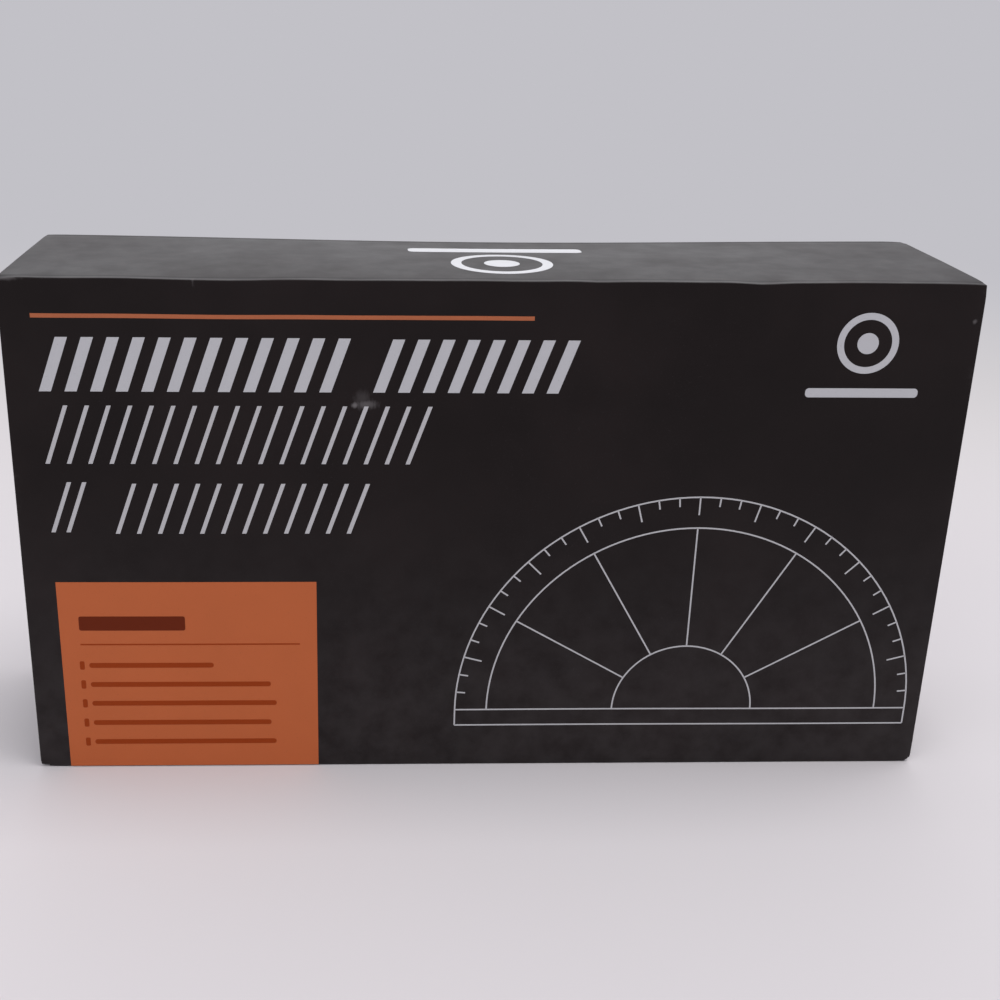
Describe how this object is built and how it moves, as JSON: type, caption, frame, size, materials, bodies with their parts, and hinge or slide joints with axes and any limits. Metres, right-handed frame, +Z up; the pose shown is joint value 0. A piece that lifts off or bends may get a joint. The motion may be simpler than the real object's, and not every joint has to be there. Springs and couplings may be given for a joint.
{
  "type": "rolling knife sharpener set",
  "caption": "Boxed rolling knife sharpener: hinged magnetic gift box with a foam insert, a roller with abrasive discs, a five-angle magnetic block and gloves.",
  "frame": {"origin": "centre of the closed box's underside, on the outer face of its closing flap", "axes": "+Z up as the box stands on its long edge, +X to the right along its length when facing the printed cover, +Y from the cover to the back"},
  "size_m": [0.2526, 0.061, 0.1416],
  "materials": {
    "wrapped_board": "matte",
    "lining_paper": "matte",
    "foam": "matte",
    "wood": "satin",
    "rubber": "matte",
    "tyre_rubber": "matte",
    "steel": "satin",
    "bearing_steel": "polished",
    "magnet_nickel": "polished",
    "aluminium": "satin",
    "black_screw": "satin",
    "coarse_diamond": "matte",
    "fine_diamond": "matte",
    "coarse_ceramic": "matte",
    "fine_ceramic": "matte",
    "knit": "matte"
  },
  "bodies": {
    "base": {"back_panel": "wrapped_board", "spine_panel": "wrapped_board", "tray": "wrapped_board", "tray_strike_left": "steel", "tray_strike_right": "steel", "insert_upper": "foam", "insert_lower": "foam", "insert_base": "foam", "angle_block_body": "wood", "angle_block_mat": "rubber", "angle_block_pad_1": "rubber", "angle_block_magnet_1": "magnet_nickel", "angle_block_pad_2": "rubber", "angle_block_magnet_2": "magnet_nickel", "angle_block_pad_3": "rubber", "angle_block_magnet_3": "magnet_nickel", "angle_block_pad_4": "rubber", "angle_block_magnet_4": "magnet_nickel", "angle_block_pad_5": "rubber", "angle_block_magnet_5": "magnet_nickel", "grip_barrel": "wood", "barrel_core": "aluminium", "bearing_left_outer_ring": "bearing_steel", "bearing_right_outer_ring": "bearing_steel", "coarse_ceramic_plate": "steel", "fine_ceramic_plate": "steel", "coarse_ceramic_disc": "coarse_ceramic", "fine_ceramic_disc": "fine_ceramic", "glove_right": "knit", "glove_left": "knit"},
    "cover": {"cover_panel": "wrapped_board", "cover_lining": "lining_paper"},
    "flap": {"flap_panel": "wrapped_board", "flap_magnet_left": "magnet_nickel", "flap_magnet_right": "magnet_nickel"},
    "wheel_set": {"axle": "steel", "bearing_left_inner_ring": "bearing_steel", "wheel_left": "steel", "tyre_left": "tyre_rubber", "wheel_magnet_left": "magnet_nickel", "wheel_screw_left": "black_screw", "bearing_right_inner_ring": "bearing_steel", "wheel_right": "steel", "tyre_right": "tyre_rubber", "wheel_magnet_right": "magnet_nickel", "wheel_screw_right": "black_screw"},
    "ball_cages": {"bearing_left_balls": "bearing_steel", "bearing_right_balls": "bearing_steel"},
    "coarse_diamond": {"coarse_diamond_plate": "steel", "coarse_diamond_disc": "coarse_diamond"},
    "fine_diamond": {"fine_diamond_plate": "steel", "fine_diamond_disc": "fine_diamond"}
  },
  "joints": [
    {"name": "cover_hinge", "type": "hinge", "parent": "base", "child": "cover", "pos_m": [0, -0.0305, 0.1416], "axis": [-1, 0, 0], "range_deg": [0, 205]},
    {"name": "flap_hinge", "type": "hinge", "parent": "cover", "child": "flap", "pos_m": [0, -0.0305, 0], "axis": [-1, 0, 0], "range_deg": [0, 120]},
    {"name": "wheel_spin", "type": "hinge", "parent": "base", "child": "wheel_set", "pos_m": [0.07786, -0.0022, 0.1061], "axis": [1, 0, 0], "continuous": true},
    {"name": "cage_spin", "type": "hinge", "parent": "base", "child": "ball_cages", "pos_m": [0.07786, -0.0022, 0.1061], "axis": [1, 0, 0], "continuous": true},
    {"name": "coarse_disc_pull", "type": "slide", "parent": "wheel_set", "child": "coarse_diamond", "axis": [-1, 0, 0], "range_m": [0, 0.0035]},
    {"name": "fine_disc_pull", "type": "slide", "parent": "wheel_set", "child": "fine_diamond", "axis": [1, 0, 0], "range_m": [0, 0.0035]}
  ],
  "couplings": [
    {"joint": "cage_spin", "follows": "wheel_spin", "ratio": 0.3667}
  ]
}
